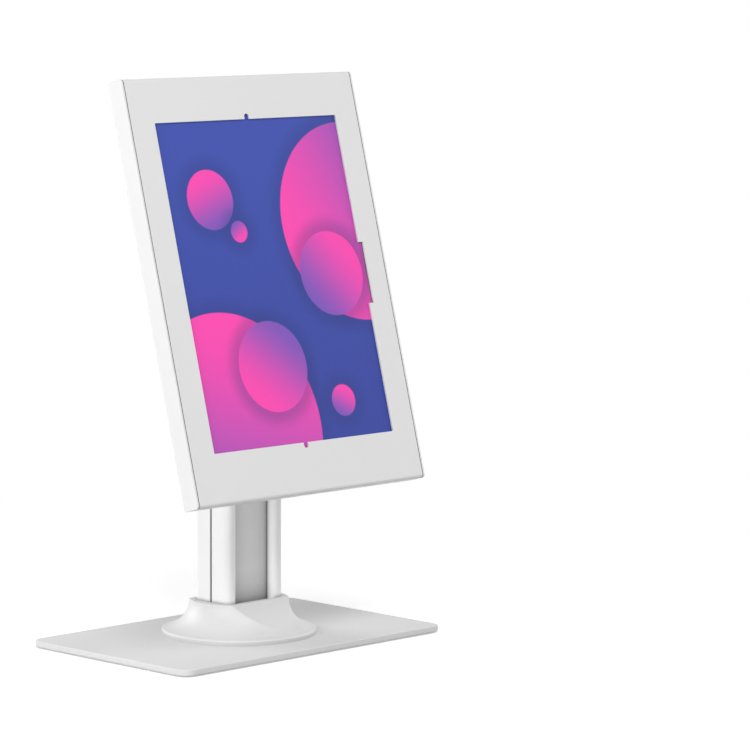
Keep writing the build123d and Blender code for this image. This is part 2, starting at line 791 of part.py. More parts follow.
def make_lock_plug():
    """Turning core with its keyway."""
    plug_rear = tray_rear - lock_barrel_reach
    plug = forward(on_panel(Circle(lock_plug_radius), 0, lock_up), plug_rear, cam_rear)
    keyway = on_panel(Rectangle(lock_keyway_width, lock_keyway_length), 0, lock_up)
    plug -= forward(keyway, plug_rear - cut_overrun, plug_rear + lock_keyway_depth)
    hole = on_panel(Circle(cam_screw_diameter / 2 + thread_clearance), 0, lock_up)
    return plug - forward(hole, cam_rear - cam_screw_length, cam_rear + cut_overrun)


def make_lock_cam():
    """Flat arm on the plug that turns up in front of the cover's keeper."""
    arm = Pos((cam_reach - cam_width / 2) / 2, 0) * SlotOverall(cam_reach + cam_width / 2, cam_width)
    arm -= Circle(cam_screw_diameter / 2 + thread_clearance)
    return forward(on_panel(arm, 0, lock_up), cam_rear, cam_rear + cam_sheet)


def make_cam_screw():
    """Screw that holds the cam on the plug."""
    head_rear = cam_rear + cam_sheet
    head = forward(on_panel(Circle(cam_screw_head_diameter / 2), 0, lock_up),
                   head_rear, head_rear + cam_screw_head_height)
    shank = forward(on_panel(Circle(cam_screw_diameter / 2), 0, lock_up),
                    cam_rear - cam_screw_length + bolt_end, head_rear)
    return head + shank


# Supports inside the tray, in the head's own frame

def make_rail(level):
    """Channel across the tray's back that carries the tablet."""
    outline = Rectangle(rail_length, rail_height)
    channel = Rectangle(rail_length + 2 * cut_overrun, rail_height - 2 * rail_sheet)
    up = level * rail_spacing / 2
    rail = forward(on_panel(outline, 0, up), tray_inside, rail_front)
    return rail - forward(on_panel(channel, 0, up), tray_inside - cut_overrun, rail_front - rail_sheet)


def make_rail_pads():
    """Foam strips on the two rails."""
    solids = []
    strip = Rectangle(rail_length, rail_height - 2 * rail_sheet)
    for level in (-1, 1):
        seat = on_panel(strip, 0, level * rail_spacing / 2)
        solids += forward(seat, rail_front, tablet_rear).solids()
    return Compound(children=solids)


def make_side_ledge(side):
    """Long channel beside the tablet: an inner leg, a flat that carries it and a lip that locates it."""
    lip_inner = tablet_width / 2 + touch_gap
    lip_outer = lip_inner + ledge_sheet
    levels = (hub_height - ledge_length / 2, hub_height + ledge_length / 2)
    flat_front = tablet_rear - touch_gap
    flat_rear = flat_front - ledge_sheet
    leg = block((ledge_inner, ledge_inner + ledge_sheet), (-flat_front, -tray_inside), levels)
    flat = block((ledge_inner, lip_outer), (-flat_front, -flat_rear), levels)
    lip = block((lip_inner, lip_outer), (-flat_front - ledge_lip_height, -tray_inside), levels)
    ledge = leg + flat + lip
    return ledge if side > 0 else mirror(ledge, about=Plane.YZ)


def make_tablet_stops():
    """Four foam blocks above and below the tablet."""
    solids = []
    stop_front = cover_inside - stop_setback
    stop = Rectangle(stop_width, stop_height)
    reach = tablet_height / 2 + touch_gap + stop_height / 2
    for right, up in corners(stop_distance, reach):
        solids += forward(on_panel(stop, right, window_rise + up), tray_inside, stop_front).solids()
    return Compound(children=solids)


# Tablet, in the head's own frame

housing_front = glass_front - glass_gap
glass_rear = glass_front - glass_thickness


def tablet_outline(inset):
    """The tablet's round-cornered outline, drawn in by an inset."""
    radius = max(tablet_corner - inset, tablet_corner * inner_bend_share)
    return on_panel(rounded(tablet_width - 2 * inset, tablet_height - 2 * inset, radius), 0, window_rise)


def make_tablet_housing():
    """Thin metal tub with a soft rear edge and a camera hole."""
    housing = forward(tablet_outline(0), tablet_rear, housing_front)
    rear_edges = housing.faces().sort_by(Axis.Y)[-1].edges()
    housing = fillet(rear_edges, tablet_edge_round)
    floor = tablet_rear + tablet_back_wall
    housing -= forward(tablet_outline(tablet_wall), floor, housing_front + cut_overrun)
    hole = Circle(tablet_camera_diameter / 2 + thread_clearance)
    hole = on_panel(hole, tablet_camera_across, tablet_camera_up)
    return housing - forward(hole, tablet_rear - cut_overrun, floor + cut_overrun)


def make_tablet_glass():
    """Front glass set into the housing's rim."""
    return forward(tablet_outline(tablet_wall + glass_gap), glass_rear, glass_front)


def make_tablet_display():
    """Display panel behind the glass."""
    panel = on_panel(Rectangle(display_width, display_height), 0, window_rise)
    return forward(panel, glass_rear - display_thickness, glass_rear)


def make_tablet_battery():
    """Flat battery on the inside of the tablet's back."""
    pack = on_panel(rounded(battery_width, battery_height, tablet_wall), 0, window_rise)
    rear = tablet_rear + tablet_back_wall
    return forward(pack, rear, rear + battery_thickness)


def make_tablet_camera():
    """Rear camera, a round bump with a sunk lens, in line with the tray's camera window."""
    bump_rear = tablet_rear - tablet_camera_height
    front = tablet_rear + tablet_back_wall
    bump = forward(on_panel(Circle(tablet_camera_diameter / 2), tablet_camera_across, tablet_camera_up),
                   bump_rear, front)
    lens = on_panel(Circle(tablet_lens_diameter / 2), tablet_camera_across, tablet_camera_up)
    return bump - forward(lens, bump_rear - cut_overrun, bump_rear + tablet_lens_depth)


stand_nodes = {
    "base_plate": make_base_plate(),
    "rubber_feet": make_rubber_feet(),
    "base_screws": make_base_screws(),
    "pole_extrusion": make_pole_extrusion(),
    "pole_collar": make_pole_collar(),
    "pole_bracket": make_pole_bracket(),
    "bracket_screws": make_bracket_screws(),
    "pivot_bolts": make_pivot_bolts(),
    "pivot_nuts": both_sides(hex_nut(pivot_bolt_radius, pivot_y)),
    "clamp_bolts": make_clamp_bolts(),
    "clamp_washers": make_clamp_washers(),
    "clamp_nuts": both_sides(hex_nut(clamp_bolt_radius, clamp_y)),
}

head_nodes = {
    "tilt_yoke": make_tilt_yoke(),
    "hub_ring": make_hub_ring(),
    "hub_screws": make_hub_screws(),
    "turntable_disc": make_turntable_disc(),
    "mounting_plate": make_mounting_plate(),
    "plate_screws": make_plate_screws(),
    "rear_tray": make_rear_tray(),
    "front_cover": make_front_cover(),
    "cover_hooks": make_cover_hooks(),
    "cover_keeper": make_cover_keeper(),
    "upper_rail": make_rail(1),
    "lower_rail": make_rail(-1),
    "rail_pads": make_rail_pads(),
    "side_ledge_left": make_side_ledge(-1),
    "side_ledge_right": make_side_ledge(1),
    "tablet_stops": make_tablet_stops(),
    "lock_housing": make_lock_housing(),
    "lock_nut": make_lock_nut(),
    "lock_plug": make_lock_plug(),
    "lock_cam": make_lock_cam(),
    "cam_screw": make_cam_screw(),
    "tablet_housing": make_tablet_housing(),
    "tablet_glass": make_tablet_glass(),
    "tablet_display": make_tablet_display(),
    "tablet_battery": make_tablet_battery(),
    "tablet_camera": make_tablet_camera(),
}



def set_in_world(shape):
    """The shape taken from the head's own frame to its place on the stand, solid by solid."""
    solids = shape.solids()
    if len(solids) == 1:
        return tilted * shape
    return Compound(children=[tilted * solid for solid in solids])


os.makedirs("parts", exist_ok=True)
for name, shape in stand_nodes.items():
    export_step(shape, f"parts/{name}.step")
for name, shape in head_nodes.items():
    export_step(set_in_world(shape), f"parts/{name}.step")
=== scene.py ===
"""Looks of a tablet security kiosk stand: its finishes, fasteners, feet, screen and studio."""

import json
import logging
import math
from dataclasses import dataclass, replace
from enum import Enum
from typing import Callable

import bmesh
import bpy
from mathutils import Matrix, Vector

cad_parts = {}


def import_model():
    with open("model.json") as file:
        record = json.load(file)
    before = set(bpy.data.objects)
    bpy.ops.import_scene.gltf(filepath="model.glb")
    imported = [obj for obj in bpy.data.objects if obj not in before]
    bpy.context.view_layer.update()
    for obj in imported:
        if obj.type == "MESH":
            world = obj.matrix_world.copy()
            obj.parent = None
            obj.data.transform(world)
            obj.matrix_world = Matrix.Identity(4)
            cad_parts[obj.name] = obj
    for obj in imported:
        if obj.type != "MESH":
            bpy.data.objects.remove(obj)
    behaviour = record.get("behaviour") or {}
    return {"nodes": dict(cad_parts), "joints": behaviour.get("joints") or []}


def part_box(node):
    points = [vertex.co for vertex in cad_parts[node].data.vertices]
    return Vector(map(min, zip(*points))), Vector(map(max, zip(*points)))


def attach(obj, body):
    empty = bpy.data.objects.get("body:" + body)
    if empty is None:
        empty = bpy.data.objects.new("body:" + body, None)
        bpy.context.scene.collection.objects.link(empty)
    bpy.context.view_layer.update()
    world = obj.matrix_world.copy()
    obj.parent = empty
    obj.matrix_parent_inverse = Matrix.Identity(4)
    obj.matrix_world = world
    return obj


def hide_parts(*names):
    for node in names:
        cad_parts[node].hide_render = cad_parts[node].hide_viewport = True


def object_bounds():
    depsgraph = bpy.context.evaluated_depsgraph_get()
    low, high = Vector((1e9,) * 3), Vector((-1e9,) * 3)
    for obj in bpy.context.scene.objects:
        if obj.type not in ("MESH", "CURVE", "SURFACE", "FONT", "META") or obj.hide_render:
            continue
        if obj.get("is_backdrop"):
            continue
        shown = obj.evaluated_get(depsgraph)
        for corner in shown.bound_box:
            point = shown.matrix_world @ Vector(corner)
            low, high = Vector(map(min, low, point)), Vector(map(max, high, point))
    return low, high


LOG = logging.getLogger("kiosk_stand")
MM = 0.001

Colour = tuple[float, float, float]
Pair = tuple[float, float]

BLACK: Colour = (0.0, 0.0, 0.0)
WHITE_LIGHT: Colour = (1.0, 1.0, 1.0)
WHOLE: Pair = (0.0, 1.0)
NOISE_CORE: Pair = (0.3, 0.7)
CHANNEL_TOP = 255
TOE_END = 0.04045
TOE_SLOPE = 12.92
CURVE_LIFT = 0.055
CURVE_POWER = 2.4


def linear(value: int) -> float:
    """Turn one displayed channel into linear light.

    Args:
        value: the channel, from 0 to 255.

    Returns:
        Its share of full light.
    """
    share = value / CHANNEL_TOP
    if share <= TOE_END:
        return share / TOE_SLOPE
    return ((share + CURVE_LIFT) / (1 + CURVE_LIFT)) ** CURVE_POWER


def srgb(red: int, green: int, blue: int) -> Colour:
    """Turn a colour of 0 to 255 a channel into linear light.

    Args:
        red: red channel as displayed.
        green: green channel as displayed.
        blue: blue channel as displayed.

    Returns:
        The linear colour.
    """
    return linear(red), linear(green), linear(blue)


def opaque(colour: Colour) -> tuple[float, float, float, float]:
    """The colour with full alpha."""
    return colour[0], colour[1], colour[2], 1.0


def shaded(colour: Colour, share: float) -> Colour:
    """The colour made lighter or darker by a share."""
    return tuple(min(1.0, channel * (1 + share)) for channel in colour)


class Slot(Enum):
    """Names of the record's material slots for the new pieces; nothing here assigns them."""

    FASTENER = "fastener_steel"
    RUBBER = "foot_rubber"


class Detail(Enum):
    """How many finer layers a noise holds."""

    PLAIN = 1.0
    SOFT = 2.0
    FINE = 3.0
    RICH = 4.0


class Painter:
    """Builds one node-based material step by step."""

    GAP_SAMPLES = 16
    MIX_COLOURS = (6, 7)
    MIX_RESULT = 2

    def __init__(self, name: str) -> None:
        """Start a material with a Principled shader wired to its output.

        Args:
            name: the material's name.
        """
        self.material = bpy.data.materials.new(name)
        self.material.use_nodes = True
        self.tree = self.material.node_tree
        self.tree.nodes.clear()
        self.shader = self.add("ShaderNodeBsdfPrincipled")
        self.output = self.add("ShaderNodeOutputMaterial")
        self.link(self.shader.outputs["BSDF"], self.output.inputs["Surface"])
        self.place = self.add("ShaderNodeTexCoord").outputs["Object"]

    def add(self, kind: str) -> bpy.types.Node:
        """Add a node of a kind."""
        return self.tree.nodes.new(kind)

    def link(self, source: bpy.types.NodeSocket, target: bpy.types.NodeSocket) -> None:
        """Wire one socket to another."""
        self.tree.links.new(source, target)

    def settle(self, **values: object) -> None:
        """Set constants on the shader's own sockets.

        Args:
            values: the constants by the sockets' names, with underscores for spaces.
        """
        for name, value in values.items():
            self.shader.inputs[name.replace("_", " ")].default_value = value

    def feed(self, target: bpy.types.NodeSocket, value: object) -> None:
        """Wire a socket if the value is one, and set it as a constant otherwise.

        Args:
            target: the socket that takes the value.
            value: another socket or a constant.
        """
        if isinstance(value, bpy.types.NodeSocket):
            self.link(value, target)
        else:
            target.default_value = value

    def noise(self, size: float, detail: Detail = Detail.SOFT,
              place: bpy.types.NodeSocket | None = None, distortion: float = 0.0) -> bpy.types.NodeSocket:
        """Soft random pattern.

        Args:
            size: size of one blotch in metres.
            detail: how many finer layers it holds.
            place: coordinates, the object's own by default.
            distortion: how far the pattern is pulled about.

        Returns:
            A value from 0 to 1.
        """
        node = self.add("ShaderNodeTexNoise")
        node.inputs["Scale"].default_value = 1 / size
        node.inputs["Detail"].default_value = detail.value
        node.inputs["Distortion"].default_value = distortion
        self.link(place or self.place, node.inputs["Vector"])
        return node.outputs["Fac"]

    def cells(self, size: float) -> bpy.types.NodeSocket:
        """Distance to the nearest of many random points.

        Args:
            size: size of one cell in metres.

        Returns:
            A value that grows from each point outwards.
        """
        node = self.add("ShaderNodeTexVoronoi")
        node.inputs["Scale"].default_value = 1 / size
        self.link(self.place, node.inputs["Vector"])
        return node.outputs["Distance"]

    def openness(self, reach: float) -> bpy.types.NodeSocket:
        """How open the surface lies.

        Args:
            reach: how far walls count, in metres.

        Returns:
            A value from 0 deep in a gap to 1 in the open.
        """
        node = self.add("ShaderNodeAmbientOcclusion")
        node.samples = self.GAP_SAMPLES
        node.inputs["Distance"].default_value = reach
        return node.outputs["AO"]

    def beyond(self, limits: Pair) -> bpy.types.NodeSocket:
        """Whether a place lies further from the upright axis than the limits.

        Args:
            limits: half widths of the upright block, across and in depth.

        Returns:
            1 outside the block and 0 in it.
        """
        split = self.add("ShaderNodeSeparateXYZ")
        self.link(self.place, split.inputs["Vector"])
        past = [self.math("GREATER_THAN", self.math("ABSOLUTE", split.outputs[axis]), limit)
                for axis, limit in zip("XY", limits)]
        return self.math("MAXIMUM", *past)

    def math(self, operation: str, first: object, second: object = 0.0) -> bpy.types.NodeSocket:
        """Work out one sum.

        Args:
            operation: the kind of sum.
            first: a number or a socket.
            second: a number or a socket.

        Returns:
            The result.
        """
        node = self.add("ShaderNodeMath")
        node.operation = operation
        self.feed(node.inputs[0], first)
        self.feed(node.inputs[1], second)
        return node.outputs[0]

    def spread(self, value: bpy.types.NodeSocket, source: Pair, target: Pair,
               smooth: bool = False) -> bpy.types.NodeSocket:
        """Map a value from one range to another.

        Args:
            value: the socket to map.
            source: the range that it comes in.
            target: the range that it goes out in.
            smooth: whether the ends ease in and out.

        Returns:
            The mapped value.
        """
        node = self.add("ShaderNodeMapRange")
        node.interpolation_type = "SMOOTHSTEP" if smooth else "LINEAR"
        names = ("From Min", "From Max", "To Min", "To Max")
        for name, limit in zip(names, (*source, *target)):
            node.inputs[name].default_value = limit
        self.link(value, node.inputs["Value"])
        return node.outputs["Result"]

    def mix(self, factor: object, first: object, second: object) -> bpy.types.NodeSocket:
        """Mix two colours by a factor.

        Args:
            factor: a share or a socket.
            first: the colour at 0, as a linear colour or a socket.
            second: the colour at 1, as a linear colour or a socket.

        Returns:
            The mixed colour.
        """
        node = self.add("ShaderNodeMix")
        node.data_type = "RGBA"
        self.feed(node.inputs["Factor"], factor)
        for index, value in zip(self.MIX_COLOURS, (first, second)):
            self.feed(node.inputs[index], opaque(value) if isinstance(value, tuple) else value)
        return node.outputs[self.MIX_RESULT]

    def grain(self, height: bpy.types.NodeSocket, depth: float, strength: float = 1.0,
              below: bpy.types.NodeSocket | None = None) -> bpy.types.NodeSocket:
        """Turn a height into a bumped surface.

        Args:
            height: the height's socket, from 0 to 1.
            depth: how deep the grain is in metres.
            strength: how much of it shows.
            below: a normal that it lies on.

        Returns:
            The bumped normal.
        """
        node = self.add("ShaderNodeBump")
        node.inputs["Strength"].default_value = strength
        node.inputs["Distance"].default_value = depth
        self.link(height, node.inputs["Height"])
        if below:
            self.link(below, node.inputs["Normal"])
        return node.outputs["Normal"]


@dataclass(frozen=True)
class PaintedShade:
    """Painted shade: how a skin's colour is darkened towards black in gaps and corners, from ambient
    occlusion.

    Attributes:
        reach: how far walls count, in metres.
        share: the share of the colour that goes where it is deepest.
        span: from what openness to what openness it fades out.
        within: how far from the upright axis it is kept, across and in depth, or everywhere.
    """

    reach: float
    share: float
    span: Pair = WHOLE
    within: Pair | None = None


@dataclass(frozen=True)
class PaintedSkin:
    """White skin with a fine peel, a faint mottle and painted shade in gaps and corners, for coated metal or
    moulded plastic.
    """

    name: str
    colour: Colour
    roughness: Pair
    peel_size: float
    peel_depth: float
    mottle_size: float
    mottle_share: float
    speck_size: float
    speck_share: float
    painted_shades: tuple[PaintedShade, ...] = ()
    gloss: float = 0.3
    lacquer: float = 0.06
    lacquer_roughness: float = 0.28
    speck_edge: Pair = (0.05, 0.16)
    speck_tone: float = -0.5
    sheen_patch_share: float = 1 / 3
    peel_distortion: float = 0.6
    peel_core: Pair = (0.2, 0.8)
    peel_sheen: Pair = (-0.03, 0.03)
    peel_strength: float = 0.8
    wave_size_share: float = 6.0
    wave_depth_share: float = 2.0
    wave_strength: float = 0.5

    def material(self) -> bpy.types.Material:
        """Build the finish.

        Returns:
            The material.
        """
        paint = Painter(self.name)
        paint.settle(Specular_IOR_Level=self.gloss, Coat_Weight=self.lacquer,
                     Coat_Roughness=self.lacquer_roughness)
        mottle = paint.noise(self.mottle_size, Detail.FINE)
        low, high = shaded(self.colour, -self.mottle_share), shaded(self.colour, self.mottle_share)
        tone = paint.mix(mottle, low, high)
        specks = paint.spread(paint.cells(self.speck_size), self.speck_edge, (1.0, 0.0), smooth=True)
        specks = paint.math("MULTIPLY", specks, self.speck_share)
        tone = paint.mix(specks, tone, shaded(self.colour, self.speck_tone))
        # Painted shade: the colour darkens towards black where nearby walls close the surface in, only inside
        # the given block where one is given.
        for painted_shade in self.painted_shades:
            clear = paint.spread(paint.openness(painted_shade.reach), painted_shade.span, (1 - painted_shade.share, 1.0))
            if painted_shade.within:
                clear = paint.math("MAXIMUM", clear, paint.beyond(painted_shade.within))
            tone = paint.mix(clear, BLACK, tone)
        paint.link(tone, paint.shader.inputs["Base Color"])
        peel = paint.noise(self.peel_size, distortion=self.peel_distortion)
        patches = paint.noise(self.mottle_size * self.sheen_patch_share, Detail.RICH)
        sheen = paint.spread(patches, NOISE_CORE, self.roughness)
        sheen = paint.math("ADD", sheen, paint.spread(peel, self.peel_core, self.peel_sheen))
        paint.link(sheen, paint.shader.inputs["Roughness"])
        waves = paint.noise(self.peel_size * self.wave_size_share, Detail.PLAIN)
        below = paint.grain(waves, self.peel_depth * self.wave_depth_share, self.wave_strength)
        normal = paint.grain(peel, self.peel_depth, self.peel_strength, below)
        paint.link(normal, paint.shader.inputs["Normal"])
        return paint.material


@dataclass(frozen=True)
class PlatedMetal:
    """Bare or plated metal with fine tool marks and slightly uneven gloss."""

    name: str
    colour: Colour
    roughness: Pair
    mark_size: float
    mark_stretch: float
    mark_depth: float
    mark_strength: float = 0.6
    stain_size_share: float = 14.0
    stain_shares: Pair = (-0.14, 0.1)
    gloss_core: Pair = (0.6, 1.4)

    def material(self) -> bpy.types.Material:
        """Build the finish.

        Returns:
            The material.
        """
        paint = Painter(self.name)
        paint.settle(Metallic=1.0)
        stretch = paint.add("ShaderNodeMapping")
        stretch.inputs["Scale"].default_value = (1.0, 1.0, 1 / self.mark_stretch)
        paint.link(paint.place, stretch.inputs["Vector"])
        marks = paint.noise(self.mark_size, Detail.RICH, stretch.outputs["Vector"])
        stains = paint.noise(self.mark_size * self.stain_size_share, Detail.FINE)
        dark, bright = (shaded(self.colour, share) for share in self.stain_shares)
        paint.link(paint.mix(stains, dark, bright), paint.shader.inputs["Base Color"])
        gloss = paint.spread(paint.math("ADD", marks, stains), self.gloss_core, self.roughness)
        paint.link(gloss, paint.shader.inputs["Roughness"])
        normal = paint.grain(marks, self.mark_depth, self.mark_strength)
        paint.link(normal, paint.shader.inputs["Normal"])
        return paint.material


@dataclass(frozen=True)
class SoftSkin:
    """Rubber, foam or dark plastic with cells or grain that catch the light a little."""

    name: str
    colour: Colour
    roughness: Pair
    cell_size: float
    cell_depth: float
    dust_share: float
    cloud_size_share: float = 12.0
    cell_strength: float = 0.7
    fine_share: float = 0.5
    fine_strength: float = 0.5

    def material(self) -> bpy.types.Material:
        """Build the finish.

        Returns:
            The material.
        """
        paint = Painter(self.name)
        cells = paint.cells(self.cell_size)
        cloud = paint.noise(self.cell_size * self.cloud_size_share, Detail.FINE)
        dark, bright = shaded(self.colour, -self.dust_share), shaded(self.colour, self.dust_share)
        paint.link(paint.mix(cloud, dark, bright), paint.shader.inputs["Base Color"])
        paint.link(paint.spread(cloud, NOISE_CORE, self.roughness), paint.shader.inputs["Roughness"])
        fine = paint.noise(self.cell_size * self.fine_share)
        below = paint.grain(fine, self.cell_depth * self.fine_share, self.fine_strength)
        normal = paint.grain(cells, self.cell_depth, self.cell_strength, below)
        paint.link(normal, paint.shader.inputs["Normal"])
        return paint.material


@dataclass(frozen=True)
class LensCover:
    """Dark glossy cover over a lens, with a faint cloud of coating colour."""

    name: str
    colour: Colour
    tint_colour: Colour
    tint_size: float
    roughness: Pair = (0.06, 0.14)
    lacquer: float = 1.0
    lacquer_roughness: float = 0.03

    def material(self) -> bpy.types.Material:
        """Build the finish.

        Returns:
            The material.
        """
        paint = Painter(self.name)
        paint.settle(Coat_Weight=self.lacquer, Coat_Roughness=self.lacquer_roughness)
        tint = paint.noise(self.tint_size, Detail.PLAIN)
        paint.link(paint.mix(tint, self.colour, self.tint_colour), paint.shader.inputs["Base Color"])
        paint.link(paint.spread(tint, NOISE_CORE, self.roughness), paint.shader.inputs["Roughness"])
        return paint.material


@dataclass(frozen=True)
class Panel:
    """The tilted plane of the head, read from the joint that it turns on."""

    centre: Vector
    out: Vector

    @staticmethod
    def from_joint(joints: list[dict], name: str) -> "Panel":
        """Read the plane from a hinge of the frame.

        Args:
            joints: the frame's joints.
            name: the hinge's name.

        Returns:
            The plane through the hinge's place, facing along its axis.
        """
        hinge = next(joint for joint in joints if joint["name"] == name)
        return Panel(Vector(hinge["pos_m"]), Vector(hinge["axis"]).normalized())

    @property
    def lean(self) -> float:
        """The angle by which the plane leans back from upright."""
        return math.asin(self.out.z)

    @property
    def up(self) -> Vector:
        """Up the plane."""
        return self.out.cross(Vector((1.0, 0.0, 0.0))) * -1

    def reach_of(self, point: Vector) -> float:
        """How far a point lies in front of the plane."""
        return (point - self.centre).dot(self.out)

    def at(self, right: float, up: float, out: float) -> Vector:
        """A place given across, up and out of the plane."""
        return self.centre + Vector((right, 0.0, 0.0)) + self.up * up + self.out * out


@dataclass(frozen=True)
class Disc:
    """One soft disc of the screen's design, in shares of the window's half width from the middle."""

    across_share: float
    up_share: float
    radius_share: float
    turn: float


@dataclass(frozen=True)
class ScreenDesign:
    """A lit screen that shows soft overlapping discs in pink and violet on blue."""

    name: str
    half_width: float
    deep: Colour = srgb(47, 65, 156)
    light: Colour = srgb(54, 75, 168)
    warm: Colour = srgb(250, 68, 174)
    cool: Colour = srgb(122, 82, 182)
    ground_half_share: float = 1.35
    edge_share: float = 0.012
    shadow_share: float = 0.16
    shadow_depth: float = 0.42
    shadow_tone: float = -0.35
    pixel_size: float = 1.6 * MM
    pixel_share: float = 0.02
    glow: float = 0.18
    gloss: float = 0.25
    roughness: float = 0.16
    lacquer: float = 0.15
    lacquer_roughness: float = 0.05
    discs: tuple[Disc, ...] = (
        Disc(0.98, 0.42, 0.80, 205.0),
        Disc(0.62, 0.02, 0.34, 40.0),
        Disc(-0.70, -1.12, 0.92, 75.0),
        Disc(-0.18, -0.66, 0.36, 230.0),
        Disc(-0.52, 0.66, 0.24, 110.0),
        Disc(-0.28, 0.40, 0.09, 300.0),
        Disc(0.50, -0.98, 0.13, 60.0),
    )

    def material(self, panel: Panel, middle: Vector) -> bpy.types.Material:
        """Build the lit screen.

        Args:
            panel: the head's plane.
            middle: the middle of the window.

        Returns:
            The material.
        """
        paint = Painter(self.name)
        paint.settle(Roughness=self.roughness, Specular_IOR_Level=self.gloss, Coat_Weight=self.lacquer,
                     Coat_Roughness=self.lacquer_roughness, Emission_Strength=self.glow)
        lay = paint.add("ShaderNodeMapping")
        lay.vector_type = "TEXTURE"
        lay.inputs["Location"].default_value = middle
        lay.inputs["Rotation"].default_value = (-panel.lean, 0.0, 0.0)
        lay.inputs["Scale"].default_value = (self.half_width, self.half_width, self.half_width)
        paint.link(paint.place, lay.inputs["Vector"])
        split = paint.add("ShaderNodeSeparateXYZ")
        paint.link(lay.outputs["Vector"], split.inputs["Vector"])
        across, up = split.outputs["X"], split.outputs["Z"]
        ground = paint.spread(up, (-self.ground_half_share, self.ground_half_share), WHOLE, smooth=True)
        art = paint.mix(ground, self.deep, self.light)
        for disc in self.discs:
            art = self.lay_disc(paint, art, across, up, disc)
        grid = paint.noise(self.pixel_size, Detail.PLAIN)
        pixels = paint.spread(grid, NOISE_CORE, (0.0, self.pixel_share))
        art = paint.mix(pixels, art, self.cool)
        paint.link(art, paint.shader.inputs["Base Color"])
        paint.link(art, paint.shader.inputs["Emission Color"])
        return paint.material

    def lay_disc(self, paint: Painter, art: bpy.types.NodeSocket, across: bpy.types.NodeSocket,
                 up: bpy.types.NodeSocket, disc: Disc) -> bpy.types.NodeSocket:
        """Lay one disc over the art with a soft shadow under it.

        Args:
            paint: the material being built.
            art: the colour so far.
            across: the coordinate across the window.
            up: the coordinate up the window.
            disc: the disc to lay.

        Returns:
            The colour with the disc on it.
        """
        right = paint.math("SUBTRACT", across, disc.across_share)
        high = paint.math("SUBTRACT", up, disc.up_share)
        squares = [paint.math("POWER", side, 2.0) for side in (right, high)]
        reach = paint.math("SQRT", paint.math("ADD", *squares))
        angle = math.radians(disc.turn)
        along = paint.math("ADD", paint.math("MULTIPLY", right, math.cos(angle)),
                           paint.math("MULTIPLY", high, math.sin(angle)))
        rim = (disc.radius_share, disc.radius_share + self.shadow_share)
        shadow = paint.spread(reach, rim, (self.shadow_depth, 0.0), smooth=True)
        art = paint.mix(shadow, art, shaded(self.deep, self.shadow_tone))
        fade = paint.spread(along, (-disc.radius_share, disc.radius_share), WHOLE, smooth=True)
        body = paint.mix(fade, self.cool, self.warm)
        edge = (disc.radius_share - self.edge_share, disc.radius_share)
        return paint.mix(paint.spread(reach, edge, (1.0, 0.0), smooth=True), art, body)


@dataclass(frozen=True)
class Ring:
    """One ring of a turned shape: its radius, its height, and whether it is a hexagon across its flats."""

    radius: float
    height: float
    hexagon: bool = False


class Turning:
    """Turns a row of rings into a closed mesh about the upright axis."""

    STEPS = 48
    SIDES = 6
    SHARP_ANGLE = 35.0

    def __init__(self, rings: list[Ring]) -> None:
        """Keep the rings.

        Args:
            rings: from the bottom's middle, out and round to the top's middle.
        """
        self.rings = rings

    def reach(self, ring: Ring, angle: float) -> float:
        """Work out how far out a ring lies at an angle.

        Args:
            ring: the ring.
            angle: the angle about the upright axis, in radians.

        Returns:
            Its radius there.
        """
        if not ring.hexagon:
            return ring.radius
        side = 2 * math.pi / self.SIDES
        return ring.radius / math.cos((angle % side) - side / 2)

    def mesh(self, name: str) -> bpy.types.Mesh:
        """Build the mesh.

        Args:
            name: the mesh's name.

        Returns:
            A closed mesh with its faces outwards.
        """
        made = bmesh.new()
        angles = [2 * math.pi * step / self.STEPS for step in range(self.STEPS)]
        loops = []
        for ring in self.rings:
            loops.append([made.verts.new((self.reach(ring, angle) * math.cos(angle),
                                          self.reach(ring, angle) * math.sin(angle), ring.height))
                          for angle in angles])
        for low, high in zip(loops, loops[1:]):
            for step in range(self.STEPS):
                after = (step + 1) % self.STEPS
                made.faces.new((low[step], low[after], high[after], high[step]))
        made.faces.new(list(reversed(loops[0])))
        made.faces.new(loops[-1])
        bmesh.ops.recalc_face_normals(made, faces=made.faces)
        mesh = bpy.data.meshes.new(name)
        made.to_mesh(mesh)
        made.free()
        mesh.shade_smooth()
        mesh.set_sharp_from_angle(angle=math.radians(self.SHARP_ANGLE))
        return mesh


